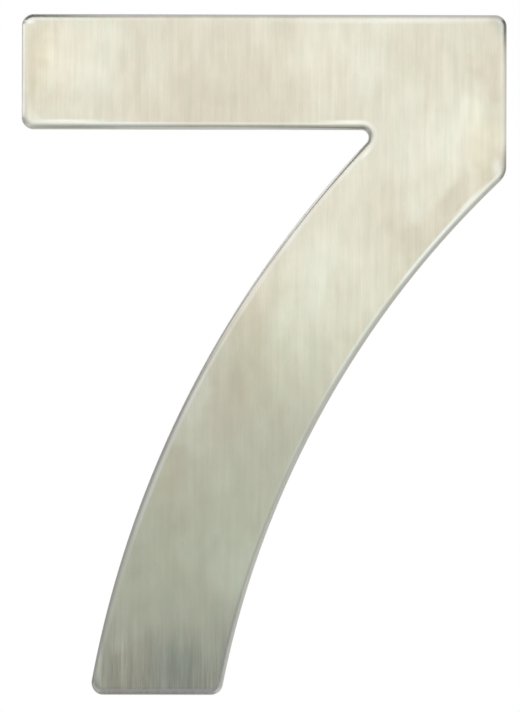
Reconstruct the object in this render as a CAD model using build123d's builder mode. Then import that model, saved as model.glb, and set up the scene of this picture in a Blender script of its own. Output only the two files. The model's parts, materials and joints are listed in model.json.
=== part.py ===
from build123d import *

import math
import os

# A house number seven, cast in one piece and fixed to a wall by two hidden studs.
# +Z is up and the face looks along -Y. The origin is the centre of the outline's box, on the flat back.
# All sizes are in millimetres, and all angles in degrees.

# Outline, read straight on
number_height = 101.6
number_width = 72.4
bar_height = 17.2
shoulder_height = 23.9  # straight right-hand edge, from the top down to where the leg's outer arc starts
crotch_from_left = 53.3  # where the leg's inner arc would meet the bar's underside, before rounding
foot_from_left = 10.3
foot_width = 19.65
inner_arc_radius = 158.2
outer_arc_radius = 142.0
corner_round = 1.8
shoulder_round = 3.2
crotch_round = 1.1

# Section
thickness = 6.35
draft_angle = 1.0  # the casting narrows towards its face, so that it leaves the mould
rim_round = 1.2  # the rolled edge round the face
back_edge_round = 0.2

# Two M4 tapped blind holes in the back, for the hidden studs
thread_radius = 2.0  # the thread's outer radius, as a plain wall
thread_depth = 3.7
tap_drill_radius = 1.65
tap_drill_depth = 4.2  # to where the drill's point starts
drill_point_angle = 118
mouth_radius = 2.3
mouth_angle = 90
upper_stud_from_left = 46.0
lower_stud_from_left = 22.8
lower_stud_from_foot = 12.5

# The outline's lines, about the centre of its box
left = -number_width / 2
right = number_width / 2
top = number_height / 2
bottom = -number_height / 2
underside = top - bar_height
foot_left = left + foot_from_left
foot_right = foot_left + foot_width
crotch = (left + crotch_from_left, underside)
shoulder = (right, top - shoulder_height)

# The stud holes' centres on the back, in X and Z
upper_stud = (left + upper_stud_from_left, top - bar_height / 2)
lower_stud = (left + lower_stud_from_left, bottom + lower_stud_from_foot)


def cone_height(radius_step, full_angle):
    """The height over which a cone of this full angle changes its radius by radius_step."""
    return radius_step / math.tan(math.radians(full_angle / 2))


# One stud hole's hollow, with its mouth at the origin and its drill point below it
mouth_depth = cone_height(mouth_radius - thread_radius, mouth_angle)
drill_tip_depth = tap_drill_depth + cone_height(tap_drill_radius, drill_point_angle)

with BuildPart() as stud_hollow:
    with BuildSketch(Plane.XZ):
        with BuildLine():
            Polyline(
                (0, 0),
                (mouth_radius, 0),
                (thread_radius, -mouth_depth),
                (thread_radius, -thread_depth),
                (tap_drill_radius, -thread_depth),
                (tap_drill_radius, -tap_drill_depth),
                (0, -drill_tip_depth),
                close=True,
            )
        make_face()
    revolve(axis=Axis.Z)

with BuildPart() as number_seven:
    with BuildSketch(Plane.XZ) as outline:
        with BuildLine():
            Polyline(crotch, (left, underside), (left, top), (right, top), shoulder)
            RadiusArc(shoulder, (foot_right, bottom), -outer_arc_radius)
            Line((foot_right, bottom), (foot_left, bottom))
            RadiusArc((foot_left, bottom), crotch, inner_arc_radius)
        make_face()
        fillet(outline.vertices().sort_by_distance(crotch)[0], radius=crotch_round)
        fillet(outline.vertices().sort_by_distance(shoulder)[0], radius=shoulder_round)
        square_corners = [(left, underside), (left, top), (right, top), (foot_right, bottom), (foot_left, bottom)]
        for corner in square_corners:
            fillet(outline.vertices().sort_by_distance(corner)[0], radius=corner_round)
    extrude(amount=thickness, taper=draft_angle)

    face = number_seven.faces().sort_by(Axis.Y)[0]
    fillet(face.edges(), radius=rim_round)
    back = number_seven.faces().sort_by(Axis.Y)[-1]
    fillet(back.edges(), radius=back_edge_round)

    with Locations(*[Plane(origin=(x, 0, z), z_dir=(0, 1, 0)) for x, z in (upper_stud, lower_stud)]):
        add(stud_hollow.part, mode=Mode.SUBTRACT)

number_seven.part.label = "number_seven"
os.makedirs("parts", exist_ok=True)
export_step(number_seven.part, "parts/number_seven.step")
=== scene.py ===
import json
import math

import bmesh
import bpy
from mathutils import Matrix, Vector, noise
from mathutils.geometry import delaunay_2d_cdt
from mathutils.kdtree import KDTree


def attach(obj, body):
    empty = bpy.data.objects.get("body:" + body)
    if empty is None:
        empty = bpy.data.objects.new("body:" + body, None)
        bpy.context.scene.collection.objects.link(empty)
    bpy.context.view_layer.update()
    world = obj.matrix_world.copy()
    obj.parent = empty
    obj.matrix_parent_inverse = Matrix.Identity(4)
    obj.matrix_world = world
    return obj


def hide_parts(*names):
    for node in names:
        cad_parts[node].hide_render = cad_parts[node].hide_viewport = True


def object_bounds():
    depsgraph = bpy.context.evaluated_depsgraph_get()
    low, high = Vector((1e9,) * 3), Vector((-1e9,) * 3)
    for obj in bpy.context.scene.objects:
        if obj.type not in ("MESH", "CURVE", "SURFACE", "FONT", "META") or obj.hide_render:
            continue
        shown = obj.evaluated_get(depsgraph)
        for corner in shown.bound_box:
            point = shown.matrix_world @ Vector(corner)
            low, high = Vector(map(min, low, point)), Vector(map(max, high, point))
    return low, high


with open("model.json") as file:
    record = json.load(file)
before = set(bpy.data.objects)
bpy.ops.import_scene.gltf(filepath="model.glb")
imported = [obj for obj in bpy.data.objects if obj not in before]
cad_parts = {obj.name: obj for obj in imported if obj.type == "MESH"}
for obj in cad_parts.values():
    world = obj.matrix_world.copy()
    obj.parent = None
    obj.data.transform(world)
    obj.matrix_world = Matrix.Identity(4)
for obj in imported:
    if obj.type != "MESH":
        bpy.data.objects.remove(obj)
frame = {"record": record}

# The looks of a cast house number seven: a brushed satin nickel face with a rolled rim, plain cast sides,
# a linished back, and two tapped stud holes. +Z is up and the face looks along -Y, in metres.

mm = 0.001
cad_low, cad_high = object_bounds()

# Outline, read straight on
left, right = cad_low.x, cad_high.x
top, bottom = cad_high.z, cad_low.z
bar_height = 17.2 * mm
shoulder_height = 23.9 * mm
crotch_from_left = 53.3 * mm
foot_from_left = 10.3 * mm
foot_width = 19.65 * mm
inner_arc_radius = 158.2 * mm
outer_arc_radius = 142.0 * mm
corner_round = 1.8 * mm
shoulder_round = 3.2 * mm
crotch_round = 1.1 * mm

# Section, from the flat back at y = 0 to the face
thickness = cad_high.y - cad_low.y
draft_slope = math.tan(math.radians(1.0))
rim_round = 1.2 * mm
rim_unevenness = 0.08  # how much smaller the hand-finished rim gets here and there, as a share of its round
rim_unevenness_length = 9 * mm
land_share = 1 / 8  # the narrow flat strip inside the rim, as a share of the rim's round
back_edge_round = 0.2 * mm

# Stud holes in the back
stud_holes = [Vector(m["pos_m"]) for m in frame["record"]["mounts"] if m["kind"] == "threaded_hole"]
mouth_radius = 2.3 * mm
thread_root_radius = 2.0 * mm
thread_crest_radius = 1.65 * mm
thread_pitch = 0.7 * mm
thread_crest_share = 0.25  # the flat on the thread's crest, as a share of its pitch
thread_flank_share = 0.6  # its two flanks together, as a share of its pitch
thread_depth = 3.7 * mm
thread_run_out = 0.5 * mm
tap_drill_depth = 4.2 * mm
drill_tip_depth = 5.19 * mm

# How finely the casting is divided
outline_step = 1.2 * mm
corner_steps = 12
corner_settling_rounds = 20
back_edge_steps = 4
side_steps = 4
rim_steps = 14
face_step = 2.2 * mm
back_step = 2 * face_step
row_share = math.sqrt(0.75)  # how far apart the rows of even triangles are, as a share of their step
clearance_share = 0.6  # how near an edge the triangles' own corners may lie, as a share of their step
weld_distance = 1e-8
hole_steps = 48
thread_rows = 53
sharp_edge_angle = math.radians(35)


class Side:
    """One side of the outline, clockwise: a straight line, or an arc when it has a centre."""

    def __init__(self, start, end, end_round, centre=None, outward=1):
        self.start, self.end, self.end_round = start, end, end_round
        self.centre, self.outward = centre, outward
        along = (end - start).normalized()
        self.line_normal = Vector((-along.y, along.x))

    def normal(self, point):
        """The direction out of the number beside this point."""
        if self.centre is None:
            return self.line_normal
        return (point - self.centre).normalized() * self.outward

    def distance(self, point):
        """How far outside this side the point lies."""
        if self.centre is None:
            return (point - self.start).dot(self.line_normal)
        return ((point - self.centre).length - (self.start - self.centre).length) * self.outward

    def pairs(self, start, end):
        """(point, outward direction) pairs along the side."""
        if self.centre is not None:
            return arc_pairs(self.centre, start, end, self.outward)
        count = max(2, round((end - start).length / outline_step))
        return [(start.lerp(end, i / count), self.line_normal) for i in range(count)]


def arc_pairs(centre, start, end, outward):
    """(point, outward direction) pairs on the short arc between two points, without the last one."""
    spoke = start - centre
    clockwise = spoke.angle_signed(end - centre)
    count = max(corner_steps, round(abs(clockwise) * spoke.length / outline_step))
    spokes = [Matrix.Rotation(-clockwise * i / count, 2) @ spoke for i in range(count)]
    return [(centre + s, s.normalized() * outward) for s in spokes]


def arc_centre(start, end, radius):
    """The centre of an arc that lies to the right of the way from start to end."""
    chord = end - start
    to_the_right = Vector((chord.y, -chord.x)).normalized()
    return (start + end) / 2 + to_the_right * math.sqrt(radius ** 2 - (chord.length / 2) ** 2)


def corner_arc(before, after):
    """The centre of the round between two sides, where it starts and ends, and which way is outward."""
    outward = -1 if before.end_round == crotch_round else 1
    centre = before.end.copy()
    for _ in range(corner_settling_rounds):
        a, b = before.normal(centre), after.normal(centre)
        miss_a = before.distance(centre) + outward * before.end_round
        miss_b = after.distance(centre) + outward * before.end_round
        move = Vector((miss_a * b.y - miss_b * a.y, miss_b * a.x - miss_a * b.x))
        centre -= move / (a.x * b.y - a.y * b.x)
    start, end = (centre + s.normal(centre) * outward * before.end_round for s in (before, after))
    return centre, start, end, outward


def outline_pairs():
    """The outline of the seven as (point, outward direction) pairs, clockwise from its top left."""
    underside = top - bar_height
    shoulder = Vector((right, top - shoulder_height))
    foot_left = Vector((left + foot_from_left, bottom))
    foot_right = Vector((left + foot_from_left + foot_width, bottom))
    crotch = Vector((left + crotch_from_left, underside))
    bar_end, top_left, top_right = Vector((left, underside)), Vector((left, top)), Vector((right, top))
    outer_centre = arc_centre(foot_right, shoulder, outer_arc_radius)
    inner_centre = arc_centre(foot_left, crotch, inner_arc_radius)
    sides = [
        Side(top_left, top_right, corner_round),
        Side(top_right, shoulder, shoulder_round),
        Side(shoulder, foot_right, corner_round, outer_centre, outward=-1),
        Side(foot_right, foot_left, corner_round),
        Side(foot_left, crotch, crotch_round, inner_centre, outward=1),
        Side(crotch, bar_end, corner_round),
        Side(bar_end, top_left, corner_round),
    ]
    corners = [corner_arc(side, sides[(i + 1) % len(sides)]) for i, side in enumerate(sides)]
    pairs = []
    for i, side in enumerate(sides):
        pairs += side.pairs(corners[i - 1][2], corners[i][1])
        pairs += arc_pairs(*corners[i])
    return pairs


def section_rows(rim):
    """The section's (inset from the outline, y) rows, from the back to the face, for this rim's round."""
    quarter_turn = math.radians(90)
    rows = []
    for i in range(back_edge_steps + 1):
        a = quarter_turn * i / back_edge_steps
        rows.append((back_edge_round * (1 - math.sin(a)), -back_edge_round * (1 - math.cos(a))))
    side_end = thickness - rim
    for i in range(1, side_steps + 1):
        depth = back_edge_round + (side_end - back_edge_round) * i / side_steps
        rows.append((draft_slope * (depth - back_edge_round), -depth))
    rim_start = rows[-1][0]
    for i in range(1, rim_steps + 1):
        a = quarter_turn * i / rim_steps
        rows.append((rim_start + rim * (1 - math.cos(a)), -side_end - rim * math.sin(a)))
    rows.append((rows[-1][0] + rim * land_share, -thickness))
    return rows


def fill_flat(bm, loops, from_edge, step):
    """Fills the flat area inside the first loop of vertices, and outside the others, with even triangles."""
    y = loops[0][0].co.y
    rims = [v for loop in loops for v in loop]
    near = KDTree(len(rims))
    for i, v in enumerate(rims):
        near.insert(v.co, i)
    near.balance()
    flat = [Vector((v.co.x, v.co.z)) for v in rims]
    for row in range(1, int((top - bottom) / (step * row_share))):
        for column in range(1, int((right - left) / step)):
            point = Vector((left + (column + row % 2 / 2) * step, y, bottom + row * step * row_share))
            if near.find(point)[2] > step * clearance_share:
                flat.append(Vector((point.x, point.z)))
    edges, first = [], 0
    for loop in loops:
        edges += [(first + i, first + (i + 1) % len(loop)) for i in range(len(loop))]
        first += len(loop)
    inside_only = 1
    points, _, triangles, sources, _, _ = delaunay_2d_cdt(flat, edges, [], inside_only, weld_distance)
    corners = [rims[source[0]] if source[0] < len(rims) else None for source in sources]
    for i, point in enumerate(points):
        if corners[i] is None:
            corners[i] = bm.verts.new((point.x, y, point.y))
            corners[i][from_edge] = near.find(corners[i].co)[2] + rims[0][from_edge]
    openings = [set(loop) for loop in loops[1:]]
    triangles = [[corners[i] for i in triangle] for triangle in triangles]
    return [bm.faces.new(t) for t in triangles if not any(opening.issuperset(t) for opening in openings)]


def bridge_rows(bm, lower, upper):
    """The faces between two closed rows of the same number of vertices."""
    count = len(lower)
    return [
        bm.faces.new((lower[i], lower[(i + 1) % count], upper[(i + 1) % count], upper[i]))
        for i in range(count)
    ]


def thread_wall_radius(turn, depth):
    """The tapped wall's radius at this share of a turn and this depth below the back."""
    phase = (depth / thread_pitch - turn) % 1
    from_crest = 1 - abs(2 * phase - 1)
    groove = min(max((from_crest - thread_crest_share) / thread_flank_share, 0), 1)
    run_out = min(max((thread_depth - depth) / thread_run_out, 0), 1)
    wall = thread_crest_radius + (thread_root_radius - thread_crest_radius) * groove * run_out
    return max(wall, mouth_radius - depth)


def stud_hole(bm, centre):
    """One tapped blind hole: the loop of its mouth in the flat back, and its faces."""
    depths = [thread_depth * i / (thread_rows - 1) for i in range(thread_rows)] + [tap_drill_depth]
    rows = []
    for depth in depths:
        row = []
        for i in range(hole_steps):
            turn = i / hole_steps
            radius = thread_wall_radius(turn, depth) if depth < thread_depth else thread_crest_radius
            angle = 2 * math.pi * turn
            x, z = centre.x + radius * math.cos(angle), centre.z + radius * math.sin(angle)
            row.append(bm.verts.new((x, -depth, z)))
        rows.append(row)
    faces = []
    for upper, lower in zip(rows, rows[1:]):
        faces += bridge_rows(bm, upper, lower)
    tip = bm.verts.new((centre.x, -drill_tip_depth, centre.z))
    faces += [bm.faces.new((rows[-1][i], rows[-1][(i + 1) % hole_steps], tip)) for i in range(hole_steps)]
    return rows[0], faces


def make_casting(face_metal, back_metal, hole_metal):
    """The whole number as one closed mesh, in place of the CAD node."""
    bm = bmesh.new()
    from_edge = bm.verts.layers.float.new("from_edge")
    around = []
    for point, outward in outline_pairs():
        wobble = noise.noise(Vector((point.x, point.y, 0)) / rim_unevenness_length) * 0.5 + 0.5
        rim = rim_round * (1 - rim_unevenness * wobble)
        column = []
        for inset, y in section_rows(rim):
            inward = point - outward * inset
            vertex = bm.verts.new((inward.x, y, inward.y))
            vertex[from_edge] = inset if -y > thickness / 2 else 0
            column.append(vertex)
        around.append(column)
    rows = list(zip(*around))
    for lower, upper in zip(rows, rows[1:]):
        bridge_rows(bm, lower, upper)
    fill_flat(bm, [rows[-1]], from_edge, face_step)

    holes = [stud_hole(bm, centre) for centre in stud_holes]
    back = fill_flat(bm, [rows[0]] + [mouth for mouth, _ in holes], from_edge, back_step)
    hole_walls = [f for _, walls in holes for f in walls]
    metals = [face_metal, back_metal, hole_metal]
    for metal, faces in ((back_metal, back), (hole_metal, hole_walls)):
        metal_number = metals.index(metal)
        for f in faces:
            f.material_index = metal_number
    bmesh.ops.recalc_face_normals(bm, faces=bm.faces)

    mesh = bpy.data.meshes.new("satin_number_seven")
    bm.to_mesh(mesh)
    bm.free()
    for metal in metals:
        mesh.materials.append(metal)
    mesh.shade_smooth()
    mesh.set_sharp_from_angle(angle=sharp_edge_angle)
    casting = bpy.data.objects.new("satin_number_seven", mesh)
    bpy.context.scene.collection.objects.link(casting)
    return casting


def feed(tree, socket, value):
    """Sets a socket, or links it when the value is another socket."""
    if isinstance(value, bpy.types.NodeSocket):
        tree.links.new(value, socket)
    elif value is not None:
        socket.default_value = value


def add(tree, kind, inputs=(), **settings):
    """A shader node with its settings and its inputs, which are given by name or by number."""
    node = tree.nodes.new(kind)
    for name, value in settings.items():
        setattr(node, name, value)
    for key, value in dict(inputs).items():
        feed(tree, node.inputs[key], value)
    return node


def math_node(tree, operation, *values, clamp=False):
    """The result of one sum."""
    return add(tree, "ShaderNodeMath", enumerate(values), operation=operation, use_clamp=clamp).outputs[0]


def product(tree, value, *factors):
    """A value times each of the factors."""
    for factor in factors:
        value = math_node(tree, "MULTIPLY", value, factor)
    return value


def limited(tree, value):
    """A value kept between 0 and 1."""
    return math_node(tree, "ADD", value, 0.0, clamp=True)


def vector_node(tree, operation, *values, output=0):
    """The result of one sum of vectors."""
    return add(tree, "ShaderNodeVectorMath", enumerate(values), operation=operation).outputs[output]


def vector_length(tree, vector):
    """How long a vector is."""
    return vector_node(tree, "LENGTH", vector, output="Value")


def parts_of(tree, vector):
    """A vector's X, Y and Z, by name or in that order."""
    return add(tree, "ShaderNodeSeparateXYZ", {0: vector}).outputs


def vector_from(tree, x, y, z):
    """A vector with these parts."""
    return add(tree, "ShaderNodeCombineXYZ", {0: x, 1: y, 2: z}).outputs[0]


def own_place(tree):
    """The place on the surface, in the object's own frame."""
    return add(tree, "ShaderNodeTexCoord").outputs["Object"]


def noise_node(tree, place, scale=1.0, detail=2.0, roughness=0.5):
    """A noise texture's outputs: the value first, and the colour by its name."""
    inputs = {"Vector": place, "Scale": scale, "Detail": detail, "Roughness": roughness}
    return add(tree, "ShaderNodeTexNoise", inputs).outputs


def ease(tree, value, low, high, to_low=0.0, to_high=1.0):
    """A smooth step of the value from to_low at low to to_high at high."""
    inputs = {"Value": value, "From Min": low, "From Max": high, "To Min": to_low, "To Max": to_high}
    return add(tree, "ShaderNodeMapRange", inputs, interpolation_type="SMOOTHSTEP").outputs[0]


def spread(tree, value, to_low=0.0, to_high=1.0):
    """A noise, which lies mostly between 0.3 and 0.7, spread smoothly over another range."""
    return ease(tree, value, 0.3, 0.7, to_low, to_high)


def between(tree, value, rise_start, rise_end, fall_start, fall_end):
    """A band of the value, which rises smoothly from 0 to 1 and falls back to 0 further on."""
    rise = ease(tree, value, rise_start, rise_end)
    fall = ease(tree, value, fall_start, fall_end, 1.0, 0.0)
    return product(tree, rise, fall)


def mix_colour(tree, share, a, b, blend="MIX"):
    """Two colours mixed by a share."""
    inputs = {0: share, 6: a, 7: b}
    return add(tree, "ShaderNodeMix", inputs, data_type="RGBA", blend_type=blend).outputs[2]


def shaded(tree, colour, shade):
    """A colour times a grey of this shade."""
    grey = add(tree, "ShaderNodeCombineColor", {0: shade, 1: shade, 2: shade}).outputs[0]
    return mix_colour(tree, 1.0, colour, grey, "MULTIPLY")


def new_group(name, inputs, outputs):
    """An empty node group, with its input and output nodes."""
    tree = bpy.data.node_groups.new(name, "ShaderNodeTree")
    for kind, label, value in inputs:
        socket = tree.interface.new_socket(label, in_out="INPUT", socket_type=kind)
        if value is not None:
            socket.default_value = value
    for kind, label in outputs:
        tree.interface.new_socket(label, in_out="OUTPUT", socket_type=kind)
    return tree, tree.nodes.new("NodeGroupInput").outputs, tree.nodes.new("NodeGroupOutput").inputs


def make_grain_group():
    """Long fine scratches that run up the number: a value from 0 to 1 about a middle of 0.5."""
    tree, given, result = new_group(
        "brushed_grain",
        [
            ("NodeSocketVector", "Place", None),
            ("NodeSocketFloat", "Scratch Width", 0.1 * mm),
            ("NodeSocketFloat", "Scratch Length", 8 * mm),
            ("NodeSocketFloat", "Waver", 0.3),
        ],
        [("NodeSocketFloat", "Scratch")],
    )
    place = parts_of(tree, given["Place"])
    waver = noise_node(tree, given["Place"], scale=90.0, detail=1.0)[0]
    sideways = product(tree, math_node(tree, "SUBTRACT", waver, 0.5), given["Waver"])
    across = math_node(tree, "DIVIDE", place["X"], given["Scratch Width"])
    across = math_node(tree, "ADD", across, sideways)
    depth = math_node(tree, "DIVIDE", place["Y"], given["Scratch Width"])
    along = math_node(tree, "DIVIDE", place["Z"], given["Scratch Length"])
    scratch = noise_node(tree, vector_from(tree, across, depth, along), detail=3.0, roughness=0.6)
    feed(tree, result["Scratch"], scratch[0])
    return tree


def make_mottle_group():
    """Soft patches, longer up the number than across it: a value from 0 to 1."""
    tree, given, result = new_group(
        "soft_mottle",
        [
            ("NodeSocketVector", "Place", None),
            ("NodeSocketFloat", "Patch Width", 8 * mm),
            ("NodeSocketFloat", "Patch Length", 20 * mm),
            ("NodeSocketFloat", "Seed", 0.0),
        ],
        [("NodeSocketFloat", "Patch")],
    )
    place = parts_of(tree, given["Place"])
    across = math_node(tree, "DIVIDE", place["X"], given["Patch Width"])
    along = math_node(tree, "DIVIDE", place["Z"], given["Patch Length"])
    patch = noise_node(tree, vector_from(tree, across, given["Seed"], along), roughness=0.45)
    feed(tree, result["Patch"], spread(tree, patch[0]))
    return tree


def make_spot_group():
    """A soft upright oval about a place: 1 in its middle, fading to 0 at 1.3 times its half sizes."""
    tree, given, result = new_group(
        "soft_spot",
        [
            ("NodeSocketVector", "Place", None),
            ("NodeSocketVector", "Middle", None),
            ("NodeSocketFloat", "Half Width", 8 * mm),
            ("NodeSocketFloat", "Half Height", 9 * mm),
        ],
        [("NodeSocketFloat", "Spot")],
    )
    offset = vector_node(tree, "SUBTRACT", given["Place"], given["Middle"])
    size = vector_from(tree, given["Half Width"], 1.0, given["Half Height"])
    away = vector_length(tree, vector_node(tree, "DIVIDE", offset, size))
    feed(tree, result["Spot"], ease(tree, away, 0.0, 1.3, 1.0, 0.0))
    return tree


grain_group = make_grain_group()
mottle_group = make_mottle_group()
spot_group = make_spot_group()


def use_group(tree, group, inputs):
    """One use of a node group in a material."""
    node = tree.nodes.new("ShaderNodeGroup")
    node.node_tree = group
    for name, value in inputs.items():
        feed(tree, node.inputs[name], value)
    return node.outputs[0]


def grain(tree, place, width, length):
    """Scratches of this width and length."""
    return use_group(tree, grain_group, {"Place": place, "Scratch Width": width, "Scratch Length": length})


def mottle(tree, place, width, length, seed):
    """Patches of about this width and length."""
    inputs = {"Place": place, "Patch Width": width, "Patch Length": length, "Seed": seed}
    return use_group(tree, mottle_group, inputs)


def spots(tree, place, marks, level=0.0):
    """A level with soft spots added to it, or taken from it where a spot's share is below 0."""
    for share, x, z, half_width, half_height in marks:
        inputs = {
            "Place": place,
            "Middle": (x * mm, cad_low.y, z * mm),
            "Half Width": half_width * mm,
            "Half Height": half_height * mm,
        }
        level = math_node(tree, "MULTIPLY_ADD", use_group(tree, spot_group, inputs), share, level)
    return level


# Colours of the metals
dull_nickel = (0.71, 0.665, 0.53, 1)
pale_nickel = (0.86, 0.855, 0.715, 1)
warm_nickel = (0.82, 0.765, 0.635, 1)
# A darker grey for patches near the foot, and painted dark reflection on the rim at the upper right corner
darker_grey_nickel = (0.56, 0.58, 0.505, 1)
# The rim's pale line: partly worn pale by the belt, partly painted highlight, darker and pinker towards the
# foot
rubbed_highlight_nickel = (0.945, 0.95, 0.91, 1)
rubbed_highlight_foot_nickel = (0.87, 0.835, 0.87, 1)
# Polished stretches beside the rim, brightened as painted highlight
polished_highlight_nickel = (0.98, 0.98, 0.87, 1)
# Painted glints: a painted highlight in the metal's colour
painted_glint_nickel = (0.98, 0.99, 0.96, 1)
# The rim's outer half: duller than the face, and darker as painted shade of the dark outline
rim_nickel = (0.65, 0.64, 0.625, 1)
rim_foot_nickel = (0.632, 0.64, 0.64, 1)
# A painted highlight on the rim
rim_highlight_nickel = (0.93, 0.92, 0.89, 1)
# The cast wall's skin: duller than the face, and darker as painted shade of the dark outline
cast_dark_nickel = (0.62, 0.603, 0.54, 1)
cast_pale_nickel = (0.70, 0.682, 0.61, 1)
# Painted dark reflection on the rim
dark_reflection_black = (0.03, 0.03, 0.03, 1)
back_dark_nickel = (0.58, 0.565, 0.50, 1)
back_pale_nickel = (0.69, 0.675, 0.595, 1)
dark_brass = (0.66, 0.50, 0.25, 1)
pale_brass = (0.74, 0.58, 0.32, 1)

# Slight casts of hue, which a colour is multiplied by
yellow_cast = (1.005, 1.0, 0.945, 1)
blush_cast = (1.04, 1.0, 1.0, 1)
green_cast = (0.99, 1.0, 0.992, 1)
pink_cast = (1.01, 1.0, 1.004, 1)

# Soft spots: each one's share, its middle across and up, its half width and half height, in millimetres
# Pale and dull patches of the face: partly the belt's uneven passes, partly painted reflection, with painted
# shade near some edges
belt_and_reflection_marks = (
    (0.75, -29, 43, 9, 12),
    (0.6, 12, 45, 8, 9),
    (0.6, 27, 31, 8, 12),
    (0.4, 29, 31, 5, 6),
    (0.4, 17, 30, 4, 7),
    (0.5, 8, 10, 6, 11),
    (0.8, -11, -7, 3, 7),
    (0.5, -4, -32, 4, 8),
    (0.5, -24, -47, 3, 6),
    (0.3, -20, -30, 3, 6),
    (0.3, 28.5, 27.5, 2.5, 5),
    (0.18, 19.5, 37, 5, 4),
    (-0.5, -7, 36.5, 13, 9),
    (-0.25, -7, 48, 6, 3),
    (-0.9, -34, 43, 4, 8),
    (-0.4, -29, 37, 4, 3),
    (-1.0, 36, 42, 3, 6),
    (-0.8, 36.5, 26, 5, 6),
    (-0.75, 26, 16, 7, 8),
    (-0.35, 28, 20, 5, 7),
    (-0.28, 14, 1, 4, 8),
    (-0.4, -1, 5, 4, 7),
    (-0.24, -4, -6, 6, 9),
    (-0.4, -13, -23, 5, 6),
    (-0.45, -19.5, -46, 4, 6),
    (-0.22, -18, -44, 6, 7),
    (-0.18, -14, 34.5, 16, 3.5),
)
# Darker, greyer patches near the foot, and painted dark reflection on the rim at the upper right corner
darker_patch_marks = (
    (0.8, -13, -47, 6, 7),
    (0.3, -6, -44, 3, 8),
    (0.6, 35.1, 49.2, 0.9, 2.2),
)
yellow_marks = (
    (1, 33, 31, 4, 8),
    (1, -33.5, 44, 4, 8),
    (0.6, 0, -1, 7, 11),
)
blush_marks = (
    (1, -8, -7, 7, 9),
    (0.7, -14, -17, 5, 9),
    (0.7, -2, 6, 4, 8),
    (0.9, -31, 45, 6, 6),
    (0.6, 9, 43, 7, 9),
)
# Where the rim's pale line, partly worn pale by the belt and partly painted highlight, is stronger or weaker
rub_and_highlight_marks = (
    (0.7, 26, 16, 7, 9),
    (0.4, 14, 0, 6, 10),
    (0.7, -18, -20, 6, 12),
    (0.6, -22, 33, 14, 4),
    (-0.35, -5, 50, 22, 3),
    (-0.35, -6, 50, 6, 2),
    (-0.35, -5, 0, 6, 9),
    (-0.35, 9.5, 21.5, 6, 9),
)
# Polished stretches beside the rim, partly painted highlight
polish_and_highlight_marks = (
    (1.2, -30, 34, 7, 4),
    (0.95, 13, 34.4, 5, 3),
    (0.38, 18, 50, 18, 3),
    (0.9, 15.0, 30.4, 1.4, 1.8),
    (0.7, 31.5, 22, 4, 4),
)
# Painted glints at the upper left corner and at the shoulder
painted_glint_marks = (
    (1, -35.0, 49.6, 0.9, 0.45),
    (0.45, 34.7, 27.8, 1.0, 1.9),
)
# A painted highlight on the rim at the bar's lower left corner
rim_highlight_marks = (
    (0.8, -36.4, 35, 2, 3.5),
)
# Painted dark reflection on the rim: at the shoulder, under the bar, at the crotch, at the foot's left
# corner and the upper right corner
rim_dark_reflection_marks = (
    (0.9, 36.9, 28.1, 1.6, 3.8),
    (0.5, -28, 33.2, 8, 1.0),
    (0.3, 5, 33.2, 10, 1.0),
    (0.45, -25.7, -49.7, 1.4, 2.2),
    (0.14, 34.1, 50.0, 0.9, 1.2),
    (0.18, 15.0, 33.4, 1.8, 1.3),
)


def new_material(name, kind, inputs):
    """A material with one shader on its output, which is returned with its tree."""
    material = bpy.data.materials.new(name)
    material.use_nodes = True
    tree = material.node_tree
    tree.nodes.clear()
    shader = add(tree, kind, inputs)
    output = tree.nodes.new("ShaderNodeOutputMaterial")
    tree.links.new(shader.outputs[0], output.inputs["Surface"])
    return material, tree, shader


def new_metal(name):
    """A material that is all metal."""
    return new_material(name, "ShaderNodeBsdfPrincipled", {"Metallic": 1.0})


def belt_passes_and_reflection(tree, place):
    """How bright each place on the face is, partly from the belt's uneven passes and partly as painted
    reflection: 0 where it is dull and warm, 1 where it is pale.
    """
    plain_level, cloud_share = 0.22, 0.34
    ragged_reach = 14 * mm
    wander = noise_node(tree, place, scale=170.0)["Color"]
    wander = vector_node(tree, "SUBTRACT", wander, (0.5, 0.5, 0.5))
    reach = {0: wander, "Scale": ragged_reach}
    wander = add(tree, "ShaderNodeVectorMath", reach, operation="SCALE").outputs[0]
    ragged_place = vector_node(tree, "ADD", place, wander)
    cloud = mottle(tree, place, width=5 * mm, length=12 * mm, seed=8.1)
    level = math_node(tree, "MULTIPLY_ADD", cloud, cloud_share, plain_level)
    return limited(tree, spots(tree, ragged_place, belt_and_reflection_marks, level))


def plated_colour(tree, place):
    """The face's colour without its streaks: the belt's passes with painted reflection, darker greyer
    patches, and small changes of hue.
    """
    warm_share = 0.38
    nickel = mix_colour(tree, belt_passes_and_reflection(tree, place), dull_nickel, pale_nickel)
    warm_patches = mottle(tree, place, width=3.5 * mm, length=6 * mm, seed=3.3)
    nickel = mix_colour(tree, product(tree, warm_patches, warm_share), nickel, warm_nickel)
    nickel = mix_colour(tree, spots(tree, place, darker_patch_marks), nickel, darker_grey_nickel)
    nickel = mix_colour(tree, spots(tree, place, yellow_marks), nickel, yellow_cast, "MULTIPLY")
    nickel = mix_colour(tree, spots(tree, place, blush_marks), nickel, blush_cast, "MULTIPLY")
    cast_patches = mottle(tree, place, width=1.5 * mm, length=4 * mm, seed=9.1)
    patch_cast = mix_colour(tree, cast_patches, green_cast, pink_cast)
    return mix_colour(tree, 1.0, nickel, patch_cast, "MULTIPLY")


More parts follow.
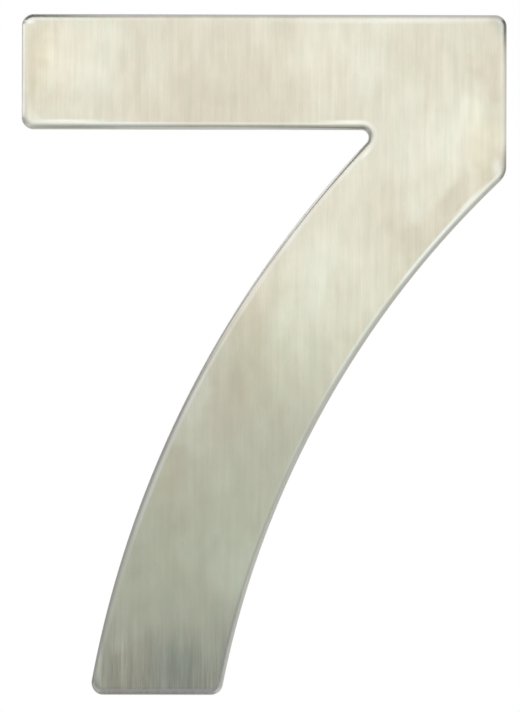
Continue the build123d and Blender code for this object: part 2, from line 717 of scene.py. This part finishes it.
def brushed_shade(tree, place, up, fine, broad):
    """The shade of the belt's streaks, which are strongest at the foot, and of small patches."""
    fine_share, broad_share = 0.4, 0.6
    even_shade, patch_share = 0.975, 0.05
    streak = math_node(tree, "ADD", product(tree, fine, fine_share), product(tree, broad, broad_share))
    strength_at_foot = ease(tree, up, -50 * mm, -36 * mm, 0.42, 0.0)
    strength_above = ease(tree, up, -20 * mm, 20 * mm, 0.06, 0.115)
    strength = math_node(tree, "ADD", strength_at_foot, strength_above)
    shade = math_node(tree, "MULTIPLY_ADD", spread(tree, streak, -0.5, 0.5), strength, even_shade)
    patches = mottle(tree, place, width=1.7 * mm, length=4 * mm, seed=7.7)
    return math_node(tree, "MULTIPLY_ADD", patches, patch_share, shade)


def rim_rub_and_highlight(tree, place, from_edge, normal):
    """Where the rim is pale, partly worn pale by the belt and partly a painted highlight: unevenly, and
    least along the upright edges.
    """
    plain_paleness, patch_paleness = 0.35, 0.45
    never_zero = 0.01
    band = between(tree, from_edge, 0.3 * mm, 0.65 * mm, 0.85 * mm, 1.2 * mm)
    upright = math_node(tree, "ABSOLUTE", normal["Z"])
    sideways = math_node(tree, "ABSOLUTE", normal["X"])
    either = math_node(tree, "ADD", math_node(tree, "ADD", upright, sideways), never_zero)
    across_belt = ease(tree, math_node(tree, "DIVIDE", upright, either), 0.0, 0.6, 0.45, 1.0)
    patches = mottle(tree, place, width=9 * mm, length=9 * mm, seed=5.7)
    paleness = math_node(tree, "MULTIPLY_ADD", patches, patch_paleness, plain_paleness)
    paleness = limited(tree, spots(tree, place, rub_and_highlight_marks, paleness))
    return product(tree, band, product(tree, paleness, across_belt))


def pale_edges(tree, place, up, from_edge, normal, nickel):
    """The face's colour with the rim's pale line, partly worn pale by the belt and partly painted highlight,
    the polished stretches beside it, partly painted highlight, and the painted glints.
    """
    # The rim's pale line: partly worn pale by the belt, partly painted highlight
    pale_line_colour = mix_colour(tree, ease(tree, up, -44 * mm, -34 * mm), rubbed_highlight_foot_nickel, rubbed_highlight_nickel)
    nickel = mix_colour(tree, rim_rub_and_highlight(tree, place, from_edge, normal), nickel, pale_line_colour)
    land = between(tree, from_edge, 0.75 * mm, 1.0 * mm, 1.2 * mm, 1.55 * mm)
    # Polished stretches beside the rim, partly painted highlight
    bright_stretches = math_node(tree, "MULTIPLY", land, spots(tree, place, polish_and_highlight_marks), clamp=True)
    nickel = mix_colour(tree, bright_stretches, nickel, polished_highlight_nickel)
    return mix_colour(tree, spots(tree, place, painted_glint_marks), nickel, painted_glint_nickel)


def side_colour(tree, place, up, cast, on_wall):
    """The colour of the rim's outer half, and of the cast wall behind it: duller than the face and partly
    painted shade of the dark outline, with a painted highlight at the bar's lower left corner.
    """
    wall = mix_colour(tree, ease(tree, cast, 0.35, 0.65), cast_dark_nickel, cast_pale_nickel)
    rim = mix_colour(tree, ease(tree, up, -35 * mm, 15 * mm), rim_foot_nickel, rim_nickel)
    rim = mix_colour(tree, spots(tree, place, rim_highlight_marks), rim, rim_highlight_nickel)
    return mix_colour(tree, on_wall, rim, wall)


def satin_nickel_face():
    """Brushed satin nickel on the face and the rim, and the plated cast skin on the side walls."""
    # How squarely each looks to the front, from 0 edge on to 1 straight on
    wall_facing, rim_facing, face_facing = 0.04, 0.3, 0.8
    extra_wall_roughness = 0.14
    fine_height, cast_height = 0.35, 4.0
    material, tree, metal = new_metal("satin_nickel_brushed")
    place = own_place(tree)
    up = parts_of(tree, place)["Z"]
    from_edge = add(tree, "ShaderNodeAttribute", attribute_name="from_edge").outputs["Fac"]
    normal = parts_of(tree, add(tree, "ShaderNodeTexCoord").outputs["Normal"])
    facing = product(tree, normal["Y"], -1.0)
    on_wall = ease(tree, facing, wall_facing, rim_facing, 1.0, 0.0)
    off_wall = ease(tree, facing, wall_facing, rim_facing)
    on_face = ease(tree, facing, rim_facing, face_facing)
    fine = grain(tree, place, width=0.16 * mm, length=5 * mm)
    broad = grain(tree, place, width=0.6 * mm, length=14 * mm)
    cast = noise_node(tree, place, scale=2600.0, detail=3.0, roughness=0.6)[0]

    nickel = shaded(tree, plated_colour(tree, place), brushed_shade(tree, place, up, fine, broad))
    nickel = pale_edges(tree, place, up, from_edge, normal, nickel)
    nickel = mix_colour(tree, on_face, side_colour(tree, place, up, cast, on_wall), nickel)
    # Painted dark reflection on the rim
    darkening = product(tree, spots(tree, place, rim_dark_reflection_marks), off_wall)
    feed(tree, metal.inputs["Base Color"], mix_colour(tree, darkening, nickel, dark_reflection_black))

    brushed_roughness = spread(tree, fine, 0.27, 0.36)
    roughness = math_node(tree, "MULTIPLY_ADD", on_wall, extra_wall_roughness, brushed_roughness)
    feed(tree, metal.inputs["Roughness"], roughness)
    feed(tree, metal.inputs["Anisotropic"], 0.85)
    height = math_node(tree, "MULTIPLY_ADD", fine, fine_height, broad)
    height = math_node(tree, "MULTIPLY_ADD", product(tree, cast, on_wall), cast_height, height)
    bump = add(tree, "ShaderNodeBump", {"Strength": 0.12, "Distance": 0.012 * mm, "Height": height})
    feed(tree, metal.inputs["Normal"], bump.outputs[0])
    return material


def linished_back():
    """The flat back: plated like the face over coarse, dull belt marks."""
    material, tree, metal = new_metal("satin_nickel_back")
    place = own_place(tree)
    marks = grain(tree, place, width=0.25 * mm, length=14 * mm)
    patch = mottle(tree, place, width=9 * mm, length=12 * mm, seed=5.0)
    nickel = mix_colour(tree, patch, back_dark_nickel, back_pale_nickel)
    feed(tree, metal.inputs["Base Color"], shaded(tree, nickel, spread(tree, marks, 0.9, 1.1)))
    feed(tree, metal.inputs["Roughness"], spread(tree, marks, 0.38, 0.5))
    feed(tree, metal.inputs["Anisotropic"], 0.4)
    bump = add(tree, "ShaderNodeBump", {"Strength": 0.3, "Distance": 0.02 * mm, "Height": marks})
    feed(tree, metal.inputs["Normal"], bump.outputs[0])
    return material


def tapped_brass():
    """The bare casting brass that the tap has cut through to."""
    material, tree, metal = new_metal("tapped_brass")
    patch = mottle(tree, own_place(tree), width=1 * mm, length=1 * mm, seed=1.0)
    feed(tree, metal.inputs["Base Color"], mix_colour(tree, patch, dark_brass, pale_brass))
    feed(tree, metal.inputs["Roughness"], ease(tree, patch, 0.0, 1.0, 0.25, 0.36))
    return material


# The studio
white = (1, 1, 1, 1)
floor_white = (0.93, 0.93, 0.93, 1)
card_distance = 26 * mm
card_half = 130 * mm
card_slant = math.radians(31)
right_of_leg = (0.88, -0.474)  # across and up: square to the leg, and away from it on its right
ring_radius = 130 * mm
ring_back = 500 * mm
ring_steps = 48
small_card_distance = 28 * mm
small_card_half_depth = 16 * mm
floor_drop = 70 * mm
floor_radius = 900 * mm
floor_fade_start, floor_fade_end = 150 * mm, 600 * mm
floor_steps = 64

# Soft spots of light on the front card, in the same form as those on the metal
card_marks = (
    (0.3, -30, 13, 15, 12),
    (0.14, 43, 2, 9, 12),
    (0.08, -38, -14, 10, 14),
)

# The front card's tint at the foot, and the heights over which each tint above it comes in
foot_tint = (0.945, 1.0, 1.015, 1)
higher_tints = (
    (-52 * mm, -36 * mm, (0.92, 1.0, 0.965, 1)),
    (-28 * mm, -4 * mm, (0.955, 1.0, 0.985, 1)),
    (4 * mm, 22 * mm, (0.995, 1.0, 1.005, 1)),
)

# The side ring's greys, each with its direction in degrees, anticlockwise from the right
ring_greys = (
    (-180, 0.52),
    (-166, 0.54),
    (-151, 0.98),
    (-135, 0.98),
    (-110, 0.74),
    (-90, 0.95),
    (-60, 0.8),
    (-34, 0.76),
    (-26, 0.76),
    (-17, 0.42),
    (-9, 0.58),
    (3, 0.7),
    (12, 0.96),
    (21, 0.84),
    (35, 0.7),
    (50, 0.62),
    (76, 0.76),
    (84, 0.74),
    (93, 0.65),
    (100, 0.67),
    (112, 0.8),
    (122, 1.5),
    (128, 1.65),
    (134, 1.2),
    (140, 0.7),
    (146, 0.42),
    (152, 0.28),
    (160, 0.38),
    (167, 0.46),
    (180, 0.52),
)

# Small cards: the place on the outline each one stands beside, its direction in degrees, width and level
small_cards = {
    "upper_left_card": ((left + 3.5 * mm, top), 116, 36 * mm, 0.02),
    "upper_right_card": ((right, top - 1 * mm), 20, 26 * mm, 0.02),
    "bar_end_card": ((left, top - 6 * mm), 180, 20 * mm, 1.3),
    "foot_card": ((left + foot_from_left + foot_width / 2, bottom), 270, 44 * mm, 0.33),
}


def new_light(name, strength=1.0):
    """A plain glowing material for one of the studio's cards."""
    return new_material(name, "ShaderNodeEmission", {"Color": white, "Strength": strength})


def stage_mesh(name, vertices, faces, material):
    """A card, ring or floor of the studio, which isn't part of the number."""
    mesh = bpy.data.meshes.new(name)
    mesh.from_pydata(vertices, [], faces)
    mesh.materials.append(material)
    thing = bpy.data.objects.new(name, mesh)
    bpy.context.scene.collection.objects.link(thing)
    return thing


def stage_card(name, vertices, faces, material):
    """A card or ring that shows only where the metal reflects it."""
    card = stage_mesh(name, vertices, faces, material)
    card.visible_camera = card.visible_diffuse = card.visible_shadow = False
    card.visible_transmission = False


def angles_round(count):
    """The angles of this many even steps round a circle."""
    return [2 * math.pi * i / count for i in range(count)]


def make_front_card():
    """A card in front of the face: bright above a slanting edge, dimmer below it, darkest at the foot."""
    material, tree, glow = new_light("front_card_light")
    place = own_place(tree)
    across, _, up = parts_of(tree, place)
    rise = product(tree, up, math.cos(card_slant))
    rise = math_node(tree, "MULTIPLY_ADD", across, math.sin(card_slant), rise)
    slanted = ease(tree, rise, -10 * mm, 13 * mm, 0.66, 1.0)
    lower_leg = ease(tree, rise, -46 * mm, -12 * mm, 0.84, 1.0)
    foot = ease(tree, up, -60 * mm, -31 * mm, 0.66, 1.0)
    beside_leg = product(tree, up, right_of_leg[1])
    beside_leg = math_node(tree, "MULTIPLY_ADD", across, right_of_leg[0], beside_leg)
    low_share = ease(tree, up, -25 * mm, 5 * mm, 0.3, 0.0)
    dimming = product(tree, ease(tree, beside_leg, 31 * mm, 55 * mm), low_share)
    level = product(tree, slanted, lower_leg, foot, math_node(tree, "SUBTRACT", 1.0, dimming))
    level = spots(tree, place, card_marks, level)
    tint = foot_tint
    for low, high, next_tint in higher_tints:
        tint = mix_colour(tree, ease(tree, up, low, high), tint, next_tint)
    feed(tree, glow.inputs["Color"], shaded(tree, tint, level))
    y = cad_low.y - card_distance
    corners = [(x * card_half, y, z * card_half) for x, z in ((-1, -1), (1, -1), (1, 1), (-1, 1))]
    stage_card("front_card", corners, [(0, 1, 2, 3)], material)


def make_side_ring():
    """Grey cards all round and behind the number's plane, that its rim reflects as a thin darker line."""
    material, tree, glow = new_light("side_ring_light")
    across, _, up = parts_of(tree, own_place(tree))
    angle = math_node(tree, "ARCTAN2", up, across)
    turn = math_node(tree, "ADD", math_node(tree, "DIVIDE", angle, 2 * math.pi), 0.5)
    ramp = add(tree, "ShaderNodeValToRGB", {0: turn})
    stops = ramp.color_ramp.elements
    while len(stops) < len(ring_greys):
        stops.new(0.5)
    for stop, (direction, grey) in zip(stops, ring_greys):
        stop.position = direction / 360 + 0.5
        stop.color = (grey, grey, grey, 1)
    ramp.color_ramp.interpolation = "EASE"
    low_level = ease(tree, across, -ring_radius, ring_radius, 0.75, 0.95)
    height = ease(tree, up, -45 * mm, 35 * mm)
    level = add(tree, "ShaderNodeMix", {0: height, 2: low_level, 3: 1.0}, data_type="FLOAT").outputs[0]
    feed(tree, glow.inputs["Strength"], product(tree, ramp.outputs[0], level))
    vertices, faces = [], []
    for i, a in enumerate(angles_round(ring_steps)):
        x, z = ring_radius * math.cos(a), ring_radius * math.sin(a)
        vertices += [(x, cad_low.y - card_distance, z), (x, ring_back, z)]
        following = (i + 1) % ring_steps
        faces.append((2 * i, 2 * i + 1, 2 * following + 1, 2 * following))
    stage_card("side_ring", vertices, faces, material)


def make_small_card(name, beside, direction, width, level):
    """A small card off one place of the outline, level with the rim, to darken or lighten the rim there."""
    material, _, _ = new_light(name + "_light", level)
    angle = math.radians(direction)
    outward = Vector((math.cos(angle), 0, math.sin(angle)))
    across = Vector((-outward.z, 0, outward.x)) * width / 2
    middle = Vector((beside[0], 0, beside[1])) + outward * small_card_distance
    back = Vector((0, small_card_half_depth, 0))
    front, behind = middle - back, middle + back
    corners = [front - across, front + across, behind + across, behind - across]
    stage_card(name, corners, [(0, 1, 2, 3)], material)


def make_floor():
    """A plain white floor that fades into the white surround, and is clear when seen from below."""
    paint = {"Base Color": floor_white, "Metallic": 0.0, "Roughness": 0.9}
    material, tree, painted = new_material("white_floor", "ShaderNodeBsdfPrincipled", paint)
    fade = ease(tree, vector_length(tree, own_place(tree)), floor_fade_start, floor_fade_end)
    surround = add(tree, "ShaderNodeEmission", {"Strength": 1.0})
    faded = add(tree, "ShaderNodeMixShader", {0: fade, 1: painted.outputs[0], 2: surround.outputs[0]})
    from_below = add(tree, "ShaderNodeNewGeometry").outputs["Backfacing"]
    clear = add(tree, "ShaderNodeBsdfTransparent")
    surface = add(tree, "ShaderNodeMixShader", {0: from_below, 1: faded.outputs[0], 2: clear.outputs[0]})
    output = next(n for n in tree.nodes if n.type == "OUTPUT_MATERIAL")
    tree.links.new(surface.outputs[0], output.inputs["Surface"])
    vertices = []
    for a in angles_round(floor_steps):
        vertices.append((floor_radius * math.cos(a), floor_radius * math.sin(a), bottom - floor_drop))
    floor = stage_mesh("floor", vertices, [tuple(range(floor_steps))], material)
    floor.visible_glossy = False


def make_world():
    """An even white surround."""
    world = bpy.data.worlds.new("white_surround")
    world.use_nodes = True
    background = world.node_tree.nodes["Background"]
    background.inputs["Color"].default_value = white
    background.inputs["Strength"].default_value = 1.0
    bpy.context.scene.world = world


# Where the photograph has the number, in its pixels
photo_width, photo_height = 520, 712
number_top, number_foot = 14.0, 695.7
number_centre_x = 263.5

# The camera
camera_distance = 2400 * mm
camera_roll = -0.0026
sensor_width = 36


def make_camera():
    """The camera straight in front, far off with a long lens, framed as in the photograph."""
    metres_per_pixel = (top - bottom) / (number_foot - number_top)
    data = bpy.data.cameras.new("camera")
    camera = bpy.data.objects.new("camera", data)
    bpy.context.scene.collection.objects.link(camera)
    to_right = (photo_width / 2 - number_centre_x) * metres_per_pixel
    up = ((number_top + number_foot) / 2 - photo_height / 2) * metres_per_pixel
    camera.location = (to_right, -camera_distance, up)
    camera.rotation_euler = (math.radians(90), camera_roll, 0)
    data.sensor_width = sensor_width
    rim_plane = camera_distance - thickness + rim_round
    data.lens = sensor_width * rim_plane / (photo_height * metres_per_pixel)
    bpy.context.scene.camera = camera


casting = make_casting(satin_nickel_face(), linished_back(), tapped_brass())
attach(casting, "root")
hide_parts("number_seven")

make_front_card()
make_side_ring()
for card_name, (beside, direction, width, level) in small_cards.items():
    make_small_card(card_name, beside, direction, width, level)
make_floor()
make_world()
make_camera()
bpy.context.scene.view_settings.view_transform = "Standard"
